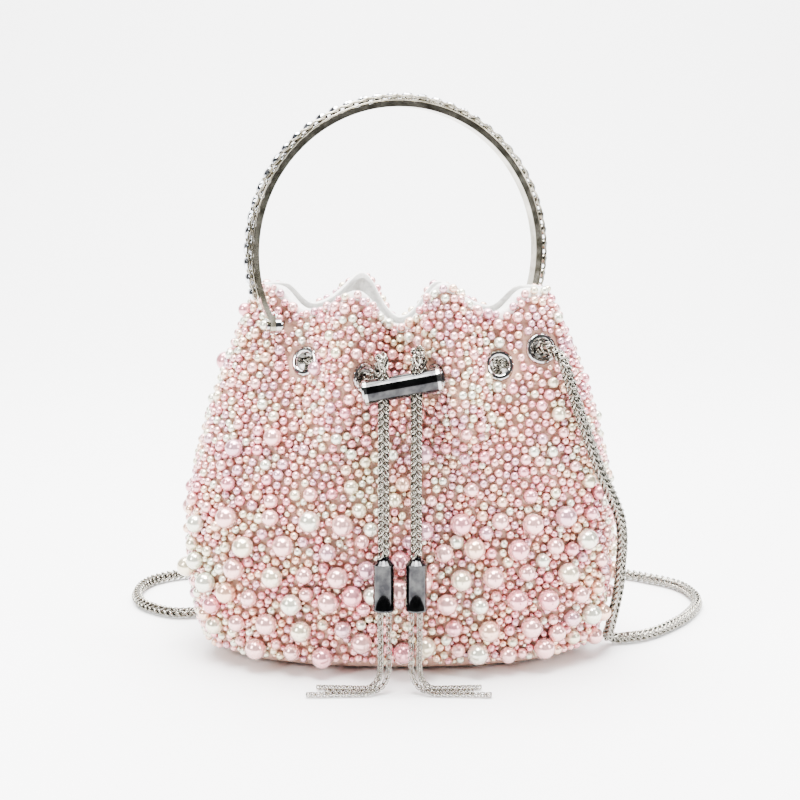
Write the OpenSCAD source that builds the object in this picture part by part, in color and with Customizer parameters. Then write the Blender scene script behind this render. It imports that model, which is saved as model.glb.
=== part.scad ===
// Pearl-beaded drawstring bucket bag with a jewelled hoop handle and a chain strap.
// Millimetres. The origin is the middle of the base, on the surface the bag stands
// on. +X is to the right, -Y is the front and +Z is up. The back of the bag is the
// front turned half a turn, so every part of the front has a twin behind.

/* [Cloth body] */
// Width of the cloth at the base
base_w = 172; // [140:1:200]
// Width of the cloth at the belly
belly_w = 202; // [170:1:240]
// Width of the cloth at the mouth
mouth_w = 134; // [120:1:160]
// Depth of the cloth at the base
base_d = 72; // [60:1:90]
// Depth of the cloth at the belly
belly_d = 88; // [74:1:110]
// Depth of the cloth at the mouth
mouth_d = 48; // [40:1:60]
// Height of the belly above the base
belly_z = 55; // [45:1:66]
// Height of the mouth corners
corner_z = 178; // [165:1:205]
// Height of the rim between the corners and the pleats
rim_z = 167; // [160:1:200]
// Thickness of the beaded cloth
cloth_t = 2; // [1.6:0.1:2.4]
// Thickness of the satin lining
lining_t = 0.8; // [0.6:0.1:1.2]

/* [Pleats] */
// How far a pleat stands out
pleat_h = 13; // [9:0.5:15]
// Half width of a pleat
pleat_w = 7; // [6:0.5:9]
// How far the valley between the pleats sinks in
valley_h = 8; // [5:0.5:10]
// How far the cloth sinks in at the outer eyelets
recess_h = 5; // [3:0.5:7]

/* [Eyelets] */
// Flange diameter of an eyelet
eyelet_d = 14.5; // [12:0.5:16]
// Hole through an eyelet
eyelet_bore = 8; // [7:0.25:9]
// Height of the drawstring eyelets
eyelet_z = 144.5; // [140:0.5:160]
// Height of the strap eyelets
strap_eyelet_z = 152; // [148:0.5:170]

/* [Handle] */
// Inner radius of the hoop band
hoop_r = 67.5; // [62:0.5:80]
// Thickness of the hoop band
hoop_t = 2.5; // [2:0.1:3.2]
// Width of the hoop band
hoop_w = 7; // [5.5:0.5:8.5]
// Height of the hoop's centre above its pivots
hoop_rise = 32.5; // [28:0.5:38]
// Height of the handle pivots
pivot_z = 161; // [150:1:175]
// Diameter of a pivot pin
pin_d = 2.4; // [2:0.1:3]
// Number of stones on the hoop
stone_count = 38; // [24:1:40]

/* [Slider] */
// Length of the slider tube
slider_tube_l = 31; // [28:1:38]
// Diameter of the slider tube
slider_d = 10.6; // [10:0.1:12]
// Height of the slider
slider_z = 138.5; // [130:0.5:150]
// How far the slider travels down the two tails
slide_travel = 55; // [40:1:60]

/* [Chains] */
// Diameter of the drawstring and strap chains
chain_d = 6.2; // [5:0.1:6.4]
// Diameter of one tassel strand
strand_d = 2.8; // [2.2:0.1:3]
// Distance between the two tails
tail_gap = 14.4; // [14:0.2:16]
// Diameter of an end cap
end_cap_d = 9.8; // [9:0.1:11]
// Length of an end cap's barrel
end_cap_l = 21; // [17:1:25]

/* [Hidden] */
$fn = 48;

// Cloth shape
outline_power = 2.2;
corner_skew = 0.17;
skew_from_z = 60;
skew_over_z = 100;
pleat_x = 19.5;
pleat_spread = 0.16;
pleat_fade_z = 85;
pleat_fade_over = 50;
valley_w = 7.5;
recess_x = 44.5;
recess_w = 9;
rim_pleat_w = 8;
rim_left_rise = 11;
rim_right_rise = 15;
rim_valley_drop = 7;
columns = 48;
rows = 13;
floor_row_z = 6;

// Gaps and small pieces
lining_gap = 0.3;
stack_t = cloth_t + lining_gap + lining_t;
binding_h = 1.4;
binding_lift = 0.05;
piping_d = 2.4;
board_t = 3;
board_inset = 5;
seat_ring = 1.5;
fit_gap = 0.3;
washer_t = 0.8;
curl_t = 0.6;
barrel_t = 0.6;
bore_gap = 0.1;
dome_h = 1.5;
bead_room = 4;
hang_gap = 1.5;

// Eyelet places on the front, as [x, z]; the back has the same, turned half a turn
flank_x = 16;
outer_seats = [[-44, eyelet_z], [45, eyelet_z]];
flank_seats = [[-flank_x, slider_z + 1], [flank_x, slider_z + 1]];
drawstring_seats = concat(outer_seats, flank_seats);
strap_seat = [64, strap_eyelet_z];
anchor_seat = [-59, pivot_z];

// Pearls
pearl_d = 10;
small_pearl_d = 8;
pearl_rows = 6;
pearl_row_gap = 12.5;
pearl_gap = 17;
pearl_first_z = 12;
pearl_side_room = 16;
pearl_mid_room = 20;

// Handle
hoop_yaw = 16;
hoop_end_angle = 25;
bare_angle = 11;
hoop_out = hoop_r + hoop_t;
tab_x = 61.55;
pin_gap = 0.05;
side_gap = 0.2;
lug_t = 2.5;
lug_r = 3.4;
lug_h = 5.2;
pin_head_d = 4.4;
pin_head_t = 1.2;
plate_d = 11;
plate_t = 1.4;
rivet_d = 2.4;
rivet_head_d = 6;
stone_d = 4.8;
stone_point = 1.5;
stone_crown = 0.9;
cup_d = 5.8;
cup_h = 2;

// Slider and tails
slider_x = 1;
slider_tilt = 10.4;
slider_wall = 1.1;
slider_cap_t = 2.2;
slider_cap_d = slider_d + 0.8;
slider_hole_gap = 0.4;
slider_plug_l = 2.4;
slider_l = slider_tube_l + 2 * slider_cap_t;
neck_top_z = 63.5;
neck_h = 3.5;
neck_d = 6.8;

// ---------- small sums ----------
function clamp01(u) = min(1, max(0, u));
function ease(u) = let (c = clamp01(u)) c * c * (3 - 2 * c);
function bump(d, w) = exp(-d * d / (2 * w * w));
function unit(v) = v / norm(v);
function turn_half(p) = [-p.x, -p.y, p.z];

// ---------- the cloth surface ----------
function half_width(z) = z > belly_z
    ? mouth_w / 2 + (belly_w - mouth_w) / 2 * cos(90 * clamp01((z - belly_z) / (corner_z - belly_z)))
    : base_w / 2 + (belly_w - base_w) / 2 * sin(90 * pow(z / belly_z, 0.6));
function half_depth(z) = z > belly_z
    ? mouth_d / 2 + (belly_d - mouth_d) / 2 * cos(90 * clamp01((z - belly_z) / (corner_z - belly_z)))
    : base_d / 2 + (belly_d - base_d) / 2 * sin(90 * pow(z / belly_z, 0.7));
function skew(z) = corner_skew * ease((z - skew_from_z) / skew_over_z);
function crest_x(z) = pleat_x + pleat_spread * (corner_z - z);
function fold(x, z) = ease((z - pleat_fade_z) / pleat_fade_over) * (
    pleat_h * (bump(x + crest_x(z), pleat_w) + bump(x - crest_x(z), pleat_w))
    - valley_h * bump(x, valley_w)
    - recess_h * (bump(x + recess_x, recess_w) + bump(x - recess_x, recess_w)));
function rim_height(x) = rim_z
    + (corner_z - rim_z) * ease((abs(x) - 40) / 20)
    + rim_left_rise * bump(x + pleat_x, rim_pleat_w)
    + rim_right_rise * bump(x - pleat_x, rim_pleat_w)
    - rim_valley_drop * bump(x, rim_pleat_w);
function front_y(x, z, inset = 0) =
    let (share = clamp01(abs(x) / (half_width(z) - inset)))
    -(half_depth(z) - inset) * pow(1 - pow(share, outline_power), 1 / outline_power)
    - (1 - pow(share, 12)) * fold(x, z) - x * skew(z);
function cloth_point(x, z) = [x, front_y(x, z), z];
function cloth_normal(x, z) = unit([
    (front_y(x + 0.5, z) - front_y(x - 0.5, z)), -1,
    (front_y(x, z + 0.5) - front_y(x, z - 0.5))]);
function beside(seat, out) = cloth_point(seat[0], seat[1]) + out * cloth_normal(seat[0], seat[1]);

// One point of the cloth: column across the front, row up it, inset into it
function column_angle(j) = -90 + 180 * j / columns;
function row_z(j, k) = k == 0 ? 0
    : floor_row_z + (rim_height(mouth_w / 2 * sin(column_angle(j))) - floor_row_z) * (k - 1) / (rows - 1);
function front_grid(j, k, inset, lift = 0) =
    let (z = row_z(j, k) + lift, x = (half_width(z) - inset) * sin(column_angle(j)))
    [x, front_y(x, z, inset), z];
function ring_grid(j, k, inset, lift = 0) = j < columns
    ? front_grid(j, k, inset, lift) : turn_half(front_grid(j - columns, k, inset, lift));

// ---------- tails: a straight line from the slider down to the end caps ----------
neck_y = -half_depth(neck_top_z) - pearl_d - end_cap_d / 2 - 0.5;
tail_top_y = max(neck_y, front_y(slider_l / 2, slider_z) - bead_room - slider_d / 2 - hang_gap);
tail_lean = atan((tail_top_y - neck_y) / (slider_z - neck_top_z));
tail_dir = [0, -sin(tail_lean), -cos(tail_lean)];
tail_l = (slider_z - neck_top_z) / cos(tail_lean);
function tail_point(x, along) = [x, tail_top_y, slider_z] + along * tail_dir;
cap_foot = tail_l + neck_h + end_cap_l;

// ---------- chain routes ----------
function route_dirs(p) = [for (i = [0:len(p) - 1])
    unit(p[min(i + 1, len(p) - 1)] - p[max(i - 1, 0)])];
function route_normals(t, n, i = 0) = i == len(t) ? []
    : let (m = unit(n - t[i] * (n * t[i]))) concat([m], route_normals(t, m, i + 1));
function first_normal(t) = unit(cross(t, abs(t.z) < 0.8 ? [0, 0, 1] : [0, 1, 0]));

loop_z = slider_z + 2.5;
loop_inset = 11;
loop_corner_room = 11;
side_x = half_width(loop_z) - loop_corner_room;
tail_starts = [-6.5, -9.5];
function loop_front(x, more) = [x, front_y(x, loop_z) + loop_inset + more, loop_z];
function tail_x(side) = side * tail_gap / 2;
function tail_start(side) = tail_starts[side < 0 ? 0 : 1];
function flank_seat(side) = flank_seats[side < 0 ? 0 : 1];

// From the top of a tail, over the back of the slider and into the flank eyelet
function lead_in(side) = let (top = tail_point(tail_x(side), tail_start(side)))
    [top, top - 2 * tail_dir, top + [side * 0.6, 3.4, 5], top + [side * 1.4, 7.4, 3.4], top + [side * 2.2, 10, -1.2],
     beside(flank_seat(side), 7), beside(flank_seat(side), 3), beside(flank_seat(side), -2)];

// Round the left side inside the bag, from the front flank to the back one; the right
// side is the same, turned half a turn
loop_inside = [beside(flank_seat(-1), -7.5), loop_front(-30, 0), loop_front(-37, 6), loop_front(-44, 2),
    loop_front(-54, 0),
    [-side_x + 8, side_x * skew(loop_z) - 9, loop_z], [-side_x + 1, side_x * skew(loop_z) - 5, loop_z],
    [-side_x, side_x * skew(loop_z) + 1, loop_z], [-side_x + 4, side_x * skew(loop_z) + 8, loop_z],
    turn_half(loop_front(56, 0)), turn_half(loop_front(46, 1.5)), turn_half(loop_front(38, 4.5)),
    turn_half(loop_front(31, 0)), turn_half(beside(flank_seat(1), -7.5))];
loop_across_back = [for (out = [-2, 3, 7]) turn_half(beside(flank_seat(1), out)),
    [0, -front_y(0, slider_z) + 8.5, slider_z + 1],
    for (out = [7, 3, -2]) turn_half(beside(flank_seat(-1), out))];
loop_route = concat(lead_in(-1), loop_inside, loop_across_back,
    [for (p = loop_inside) turn_half(p)], [for (i = [7:-1:0]) lead_in(1)[i]]);

function tail_route(side) = [for (along = [tail_start(side), 12, 34, 56, tail_l]) tail_point(tail_x(side), along)];

// Strap: through the front right strap eyelet, down the side, round the floor and
// up the back to the other strap eyelet
strap_front = [[72, -38, 149], [76, -38, 139], [80, -37, 127], [86, -35, 111], [92, -32, 96],
    [98, -28, 84], [103, -24, 72], [105, -21, 60], [105, -19, 48], [105, -16, 36], [104, -12, 24],
    [103, -7, 13], [103, -1, 6], [107, 2, 3.2], [113, 3, 3.2], [123, 7, 3.2], [136, 18, 3.2],
    [150, 35, 3.2], [160, 55, 3.2], [161, 71, 3.2], [156, 87, 3.2], [143, 99, 3.2], [128, 108, 3.2]];
strap_behind = [[105, 116, 3.2], [80, 118, 3.2], [57, 106, 3.2], [38, 88, 3.2], [17, 80, 3.2],
    [-2, 90, 3.2], [-15, 110, 3.2], [-32, 126, 3.2], [-54, 128, 3.2], [-74, 118, 3.2], [-98, 109, 3.2]];
strap_left = [[-122, 108, 3.2], [-137, 100, 3.2], [-144, 88, 3.2], [-145, 72, 3.2], [-140, 57, 3.2],
    [-131, 47, 3.2], [-118, 40, 3.2], [-106, 42, 3.2], [-96, 48, 4.5], [-90, 48, 11],
    [-86, 45, 24], [-84, 43, 40], [-83, 43, 60], [-82, 43, 80], [-80, 43, 100], [-78, 43, 120],
    [-75, 42, 136], [-72, 40, 147]];
strap_route = concat([beside(strap_seat, -8), beside(strap_seat, 0), beside(strap_seat, 5)],
    strap_front, strap_behind, strap_left,
    [turn_half(beside(strap_seat, 5)), turn_half(beside(strap_seat, 0)), turn_half(beside(strap_seat, -8))]);

// A tassel strand leaves the cap's foot, drops to the floor and lies outwards
function strand_route(side, spread, out, reach) =
    let (foot = tail_point(tail_x(side) + side * out, cap_foot) + spread * [0, cos(tail_lean), -sin(tail_lean)],
         y = foot.y + 0.2 * spread, lie = strand_d / 2 + 0.05)
    [foot, foot + 3 * tail_dir, [foot.x, y, 24], [foot.x, y + 0.3 * spread, 12],
     [foot.x + side * 2, y + 0.5 * spread, 5], [foot.x + side * 6.5, y + 0.8 * spread, lie],
     [foot.x + side * 15, y + spread, lie], [side * reach, y + 1.4 * spread, lie]];

// ---------- helpers that draw ----------
module on_front(seat) {
    n = cloth_normal(seat[0], seat[1]);
    translate(cloth_point(seat[0], seat[1]))
        rotate([0, acos(n.z), atan2(n.y, n.x)])
            children();
}

module front_and_back() {
    children();
    rotate([0, 0, 180]) children();
}

module chain_tube(route, d, sides = 8) {
    t = route_dirs(route);
    n = route_normals(t, first_normal(t[0]));
    points = [for (i = [0:len(route) - 1]) for (s = [0:sides - 1])
        route[i] + d / 2 * (cos(360 * s / sides) * n[i] + sin(360 * s / sides) * cross(t[i], n[i]))];
    last = (len(route) - 1) * sides;
    walls = [for (i = [0:len(route) - 2]) for (s = [0:sides - 1])
        [i * sides + s, i * sides + (s + 1) % sides, (i + 1) * sides + (s + 1) % sides, (i + 1) * sides + s]];
    polyhedron(points, concat([[for (s = [sides - 1:-1:0]) s]], walls, [[for (s = [0:sides - 1]) last + s]]));
}

// Cloth shell between two insets, across the front
module cloth_shell(outer, inner) {
    span = columns + 1;
    side = span * (rows + 1);
    points = concat([for (k = [0:rows]) for (j = [0:columns]) front_grid(j, k, outer)],
        [for (k = [0:rows]) for (j = [0:columns]) front_grid(j, k, inner)]);
    faces = concat(
        [for (k = [0:rows - 1]) for (j = [0:columns - 1]) let (a = k * span + j) each
            [[a, a + span + 1, a + 1], [a, a + span, a + span + 1]]],
        [for (k = [0:rows - 1]) for (j = [0:columns - 1]) let (a = side + k * span + j) each
            [[a, a + 1, a + span + 1], [a, a + span + 1, a + span]]],
        [for (j = [0:columns - 1]) each [[j, j + 1, side + j + 1], [j, side + j + 1, side + j]]],
        [for (j = [0:columns - 1]) let (a = rows * span + j) each
            [[a, side + a + 1, a + 1], [a, side + a, side + a + 1]]],
        [for (k = [0:rows - 1]) let (a = k * span) each
            [[a, side + a + span, a + span], [a, side + a, side + a + span]]],
        [for (k = [0:rows - 1]) let (a = k * span + columns) each
            [[a, a + span, side + a + span], [a, side + a + span, side + a]]]);
    polyhedron(points, faces);
}

// The seat that an eyelet or an anchor plate is clamped on: a flat disc of cloth
module seat_disc(d, top, t) {
    translate([0, 0, top - t]) cylinder(d = d + 2 * seat_ring, h = t);
}

module seat_cuts(d, bore, top, t, other_side_gap) {
    translate([0, 0, top]) cylinder(d = d + 2 * fit_gap, h = 7);
    translate([0, 0, top - t - 7 - other_side_gap]) cylinder(d = d + 2 * seat_ring + 0.6, h = 7);
    translate([0, 0, top - t - 8]) cylinder(d = bore, h = t + 16);
}

module lining_cuts(d, bore) {
    translate([0, 0, -cloth_t - lining_gap]) cylinder(d = d + 2 * seat_ring + 0.6, h = 8);
    translate([0, 0, -stack_t - 7]) cylinder(d = d + 2 * fit_gap, h = 7);
    translate([0, 0, -stack_t - 8]) cylinder(d = bore, h = 16);
}

eyelet_hole = eyelet_bore + 2 * barrel_t + 2 * bore_gap;
rivet_hole = rivet_d + 2 * bore_gap;
eyelet_seats = concat(drawstring_seats, [strap_seat]);

module panel() {
    difference() {
        union() {
            cloth_shell(0, cloth_t);
            for (seat = eyelet_seats) on_front(seat) seat_disc(eyelet_d, 0, cloth_t);
            on_front(anchor_seat) seat_disc(plate_d, 0, cloth_t);
        }
        for (seat = eyelet_seats) on_front(seat) seat_cuts(eyelet_d, eyelet_hole, 0, cloth_t, 0);
        on_front(anchor_seat) seat_cuts(plate_d, rivet_hole, 0, cloth_t, 0);
    }
}

module front_panel() color("pink") panel();

module back_panel() color("lightpink") rotate([0, 0, 180]) panel();

module oval(inset) {
    polygon([for (j = [0:2 * columns - 1]) let (p = ring_grid(j, 0, inset)) [p.x, p.y]]);
}

module base_panel() color("mistyrose") linear_extrude(cloth_t) oval(cloth_t + 0.1);

module base_board() color("burlywood") translate([0, 0, cloth_t]) linear_extrude(board_t) oval(board_inset);

module lining() {
    ring = 2 * columns;
    outer = cloth_t + lining_gap;
    side = ring * rows;
    points = concat([for (k = [1:rows]) for (j = [0:ring - 1]) ring_grid(j, k, outer)],
        [for (k = [1:rows]) for (j = [0:ring - 1]) ring_grid(j, k, stack_t, k == 1 ? lining_t : 0)],
        [[0, 0, floor_row_z], [0, 0, floor_row_z + lining_t]]);
    foot = 2 * side;
    faces = concat(
        [for (k = [0:rows - 2]) for (j = [0:ring - 1]) let (a = k * ring + j, b = k * ring + (j + 1) % ring) each
            [[a, b + ring, b], [a, a + ring, b + ring]]],
        [for (k = [0:rows - 2]) for (j = [0:ring - 1])
            let (a = side + k * ring + j, b = side + k * ring + (j + 1) % ring) each
            [[a, b, b + ring], [a, b + ring, a + ring]]],
        [for (j = [0:ring - 1]) let (a = (rows - 1) * ring + j, b = (rows - 1) * ring + (j + 1) % ring) each
            [[a, side + b, b], [a, side + a, side + b]]],
        [for (j = [0:ring - 1]) [foot, j, (j + 1) % ring]],
        [for (j = [0:ring - 1]) [foot + 1, side + (j + 1) % ring, side + j]]);
    color("ivory") difference() {
        union() {
            polyhedron(points, faces);
            front_and_back() for (seat = eyelet_seats) on_front(seat)
                seat_disc(eyelet_d, -cloth_t - lining_gap, lining_t);
            front_and_back() on_front(anchor_seat) seat_disc(plate_d, -cloth_t - lining_gap, lining_t);
        }
        front_and_back() for (seat = eyelet_seats) on_front(seat) lining_cuts(eyelet_d, eyelet_hole);
        front_and_back() on_front(anchor_seat) lining_cuts(plate_d, rivet_hole);
    }
}

module mouth_binding() {
    ring = 2 * columns;
    corners = [[0, binding_lift], [stack_t, binding_lift], [stack_t, binding_h], [0, binding_h]];
    points = [for (c = corners) for (j = [0:ring - 1])
        ring_grid(j, rows, c[0]) + [0, 0, c[1]]];
    faces = [for (c = [0:3]) for (j = [0:ring - 1])
        let (a = c * ring + j, b = c * ring + (j + 1) % ring,
             d = ((c + 1) % 4) * ring + j, e = ((c + 1) % 4) * ring + (j + 1) % ring) each
        [[a, b, e], [a, e, d]]];
    color("white") polyhedron(points, faces);
}

function piping_point(z) = [half_width(z) + piping_d / 2 + 0.05, -half_width(z) * skew(z), z];
piping_heights = [3, 8, 14, 24, 38, 52, 66, 80, 94, 108, 122, 136, 150, 162, 172];
module side_piping() chain_tube([for (z = piping_heights) piping_point(z)], piping_d);

module side_piping_right() color("whitesmoke") side_piping();

module side_piping_left() color("whitesmoke") rotate([0, 0, 180]) side_piping();

module eyelet() {
    mid_r = (eyelet_bore + eyelet_d) / 4;
    half_r = (eyelet_d - eyelet_bore) / 4;
    rotate_extrude() {
        polygon([for (a = [0:15:180]) [mid_r + half_r * cos(a), dome_h * sin(a)]]);
        translate([eyelet_bore / 2, -stack_t - washer_t]) square([barrel_t, stack_t + washer_t + 0.2]);
        translate([eyelet_bore / 2, -stack_t - washer_t - curl_t]) square([2 * barrel_t, curl_t]);
    }
}

module eyelet_washer() {
    translate([0, 0, -stack_t - washer_t]) difference() {
        cylinder(d = eyelet_d - 1, h = washer_t);
        translate([0, 0, -1]) cylinder(d = eyelet_hole, h = washer_t + 2);
    }
}

module drawstring_eyelets() color("silver") front_and_back()
    for (seat = drawstring_seats) on_front(seat) eyelet();

module drawstring_eyelet_washers() color("gray") front_and_back()
    for (seat = drawstring_seats) on_front(seat) eyelet_washer();

module strap_eyelets() color("silver") front_and_back() on_front(strap_seat) eyelet();

module strap_eyelet_washers() color("gray") front_and_back() on_front(strap_seat) eyelet_washer();

// Big pearls in brick rows, nudged off the grid; none behind the tails
function wobble(a, b) = sin(137.5 * a + 73.1 * b) * 2.4;
module pearls() {
    for (r = [0:pearl_rows - 1]) for (i = [-6:6]) {
        z = pearl_first_z + pearl_row_gap * r + 0.5 * wobble(i, r + 3);
        x = pearl_gap * (i + (r % 2) / 2) + wobble(r, i);
        if (abs(x) < half_width(z) - pearl_side_room && abs(x) > pearl_mid_room) {
            d = (i + 2 * r) % 3 == 0 ? small_pearl_d : pearl_d;
            on_front([x, z]) translate([0, 0, d / 2 + 0.05]) sphere(d = d);
        }
    }
}

module front_pearls() color("lightpink") pearls();

module back_pearls() color("lightpink") rotate([0, 0, 180]) pearls();

// ---------- handle ----------
module hoop_frame() translate([0, 0, pivot_z]) rotate([0, 0, hoop_yaw]) children();

module lug_side() {
    intersection() {
        hoop_frame() translate([-tab_x + hoop_t / 2 + side_gap, 0, 0]) rotate([90, 0, 90])
            difference() {
                linear_extrude(lug_t) {
                    circle(r = lug_r);
                    translate([0, -lug_h / 2]) square([14, lug_h]);
                }
                translate([0, 0, -1]) cylinder(d = pin_d, h = lug_t + 2);
            }
        on_front(anchor_seat) translate([-30, -30, plate_t / 2]) cube(60);
    }
}

module handle_anchors() color("silver") front_and_back() {
    difference() {
        union() {
            lug_side();
            on_front(anchor_seat) cylinder(d = plate_d, h = plate_t);
        }
        on_front(anchor_seat) translate([0, 0, -1]) cylinder(d = rivet_d, h = plate_t / 2 + 1);
    }
}

module anchor_rivets() color("gray") front_and_back() on_front(anchor_seat) {
    translate([0, 0, -stack_t]) cylinder(d = rivet_d, h = stack_t + plate_t / 2);
    translate([0, 0, -stack_t - 1]) cylinder(d = rivet_head_d, h = 1);
}

module pin_side() {
    lug_in = -tab_x + hoop_t / 2 + side_gap + lug_t;
    head_out = -tab_x - hoop_t / 2 - side_gap;
    rotate([0, 90, 0]) {
        translate([0, 0, head_out - pin_head_t]) cylinder(d = pin_head_d, h = pin_head_t);
        translate([0, 0, head_out - 0.5]) cylinder(d = pin_d, h = lug_in - head_out + 1);
        translate([0, 0, lug_in]) cylinder(d = pin_head_d - 0.8, h = 0.9);
    }
}

module handle_pivot_pins() color("silver") front_and_back() hoop_frame() pin_side();

module hoop_tab() {
    translate([-tab_x - hoop_t / 2, 0, 0]) rotate([90, 0, 90]) linear_extrude(hoop_t) {
        circle(d = hoop_w);
        translate([-hoop_w / 2, 0]) square([hoop_w, 5.2]);
    }
}

module handle_band() color("silver") hoop_frame() difference() {
    union() {
        translate([0, 0, hoop_rise]) rotate([90, 0, 0]) rotate([0, 0, -hoop_end_angle])
            rotate_extrude(angle = 180 + 2 * hoop_end_angle, $fn = 96)
                translate([hoop_r, -hoop_w / 2]) square([hoop_t, hoop_w]);
        hoop_tab();
        rotate([0, 0, 180]) hoop_tab();
    }
    translate([-tab_x - 5, 0, 0]) rotate([0, 90, 0]) cylinder(d = pin_d + 2 * pin_gap, h = 2 * tab_x + 10);
}

module along_hoop() {
    for (i = [0:stone_count - 1]) {
        angle = -hoop_end_angle + bare_angle + (180 + 2 * hoop_end_angle - 2 * bare_angle) * i / (stone_count - 1);
        hoop_frame() translate([0, 0, hoop_rise]) rotate([0, 90 - angle, 0])
            translate([0, 0, hoop_out]) children();
    }
}

module stone_solid(grow) {
    translate([0, 0, cup_h - stone_point]) cylinder(d1 = 0.8 + grow, d2 = stone_d + grow, h = stone_point, $fn = 24);
    translate([0, 0, cup_h]) cylinder(d1 = stone_d + grow, d2 = stone_d - 2 + grow, h = stone_crown, $fn = 24);
}

module handle_settings() color("silver") along_hoop() difference() {
    cylinder(d1 = cup_d - 1.4, d2 = cup_d, h = cup_h, $fn = 24);
    stone_solid(0.06);
}

module handle_stones() color("aliceblue") along_hoop() stone_solid(0);

// ---------- slider ----------
module slider_frame() translate([0, tail_top_y, slider_z]) rotate([-tail_lean, 0, 0]) children();

module slider_axis() slider_frame() translate([slider_x, 0, 0]) rotate([0, -slider_tilt, 0])
    rotate([0, 90, 0]) children();

module slider_tube() color("silver") difference() {
    slider_axis() translate([0, 0, -slider_tube_l / 2]) cylinder(d = slider_d, h = slider_tube_l);
    slider_axis() translate([0, 0, -slider_tube_l]) cylinder(d = slider_d - 2 * slider_wall, h = 2 * slider_tube_l);
    for (side = [-1, 1]) slider_frame() translate([tail_x(side), 0, -20])
        cylinder(d = chain_d + 2 * slider_hole_gap, h = 40);
}

module slider_cap() {
    translate([0, 0, slider_tube_l / 2]) cylinder(d = slider_cap_d, h = slider_cap_t - 0.8);
    translate([0, 0, slider_tube_l / 2 + slider_cap_t - 0.8])
        cylinder(d1 = slider_cap_d, d2 = slider_cap_d - 2, h = 0.8);
    translate([0, 0, slider_tube_l / 2 - slider_plug_l])
        cylinder(d = slider_d - 2 * slider_wall, h = slider_plug_l + 0.1);
}

module slider_end_caps() color("silver") slider_axis() {
    slider_cap();
    mirror([0, 0, 1]) slider_cap();
}

// ---------- chains ----------
module drawstring_loop() color("gainsboro") chain_tube(loop_route, chain_d);

module drawstring_tail_left() color("gainsboro") chain_tube(tail_route(-1), chain_d);

module drawstring_tail_right() color("gainsboro") chain_tube(tail_route(1), chain_d);

module end_cap(side) {
    translate(tail_point(tail_x(side), tail_l)) rotate([-tail_lean, 0, 0]) {
        translate([0, 0, -neck_h]) cylinder(d1 = end_cap_d, d2 = neck_d, h = neck_h);
        translate([0, 0, -neck_h - end_cap_l]) cylinder(d = end_cap_d, h = end_cap_l);
    }
}

module end_cap_left() color("silver") end_cap(-1);

module end_cap_right() color("silver") end_cap(1);

module tassel_left_1() color("gainsboro") chain_tube(strand_route(-1, -1.6, 1.6, 42), strand_d);

module tassel_left_2() color("gainsboro") chain_tube(strand_route(-1, 1.8, 1.4, 38), strand_d);

module tassel_left_3() color("gainsboro") chain_tube(strand_route(-1, 0, -2.2, 34), strand_d);

module tassel_right_1() color("gainsboro") chain_tube(strand_route(1, -1.6, 1.6, 41), strand_d);

module tassel_right_2() color("gainsboro") chain_tube(strand_route(1, 1.8, 1.4, 37), strand_d);

module tassel_right_3() color("gainsboro") chain_tube(strand_route(1, 0, -2.2, 33), strand_d);

module strap_chain() color("gainsboro") chain_tube(strap_route, chain_d);

module strap_stops() color("silver") front_and_back() on_front(strap_seat)
    translate([0, 0, -12]) cylinder(d = 9.4, h = 4);

front_panel();
back_panel();
base_panel();
base_board();
lining();
mouth_binding();
side_piping_left();
side_piping_right();
drawstring_eyelets();
drawstring_eyelet_washers();
strap_eyelets();
strap_eyelet_washers();
front_pearls();
back_pearls();
handle_anchors();
anchor_rivets();
handle_pivot_pins();
handle_band();
handle_settings();
handle_stones();
slider_tube();
slider_end_caps();
drawstring_loop();
drawstring_tail_left();
drawstring_tail_right();
end_cap_left();
end_cap_right();
tassel_left_1();
tassel_left_2();
tassel_left_3();
tassel_right_1();
tassel_right_2();
tassel_right_3();
strap_chain();
strap_stops();
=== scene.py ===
import math

import bmesh
import bpy
import numpy as np
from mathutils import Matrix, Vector
from mathutils.kdtree import KDTree


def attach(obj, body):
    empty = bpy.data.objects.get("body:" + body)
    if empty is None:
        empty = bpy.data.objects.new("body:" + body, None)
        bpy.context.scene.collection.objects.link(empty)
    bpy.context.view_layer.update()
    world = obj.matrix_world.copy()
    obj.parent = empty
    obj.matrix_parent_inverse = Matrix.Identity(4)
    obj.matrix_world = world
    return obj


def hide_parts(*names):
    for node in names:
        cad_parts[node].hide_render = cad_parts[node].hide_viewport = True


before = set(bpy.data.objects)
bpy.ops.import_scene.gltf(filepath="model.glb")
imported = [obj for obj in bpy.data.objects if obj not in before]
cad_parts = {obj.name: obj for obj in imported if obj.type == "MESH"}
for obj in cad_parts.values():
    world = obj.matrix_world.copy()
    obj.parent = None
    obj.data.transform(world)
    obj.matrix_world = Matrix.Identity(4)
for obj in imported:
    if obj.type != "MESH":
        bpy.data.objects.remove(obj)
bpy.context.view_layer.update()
MM = 0.001


# ---------------------------------------------------------------- Stage, light and camera
# A white paper sweep under and behind the bag, four large soft lamps, and a lens a little
# above the bag's rim that looks slightly down on its front.

def plain_material(name, colour, roughness):
    made = bpy.data.materials.new(name)
    made.use_nodes = True
    shader = made.node_tree.nodes["Principled BSDF"]
    shader.inputs["Base Color"].default_value = (*colour, 1)
    shader.inputs["Roughness"].default_value = roughness
    return made


def mesh_object(name, verts, faces, material, smooth=True):
    mesh = bpy.data.meshes.new(name)
    mesh.from_pydata([tuple(map(float, v)) for v in verts], [], [tuple(map(int, f)) for f in faces])
    mesh.validate()
    mesh.materials.append(material)
    if smooth:
        mesh.shade_smooth()
    made = bpy.data.objects.new(name, mesh)
    bpy.context.scene.collection.objects.link(made)
    return made


PAPER_HALF = 2.5
PAPER_FRONT, PAPER_BACK = -1.2, 1.0
PAPER_BEND = 0.5
PAPER_HIGH = 2.4
PAPER_GAP = 0.0002


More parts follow.
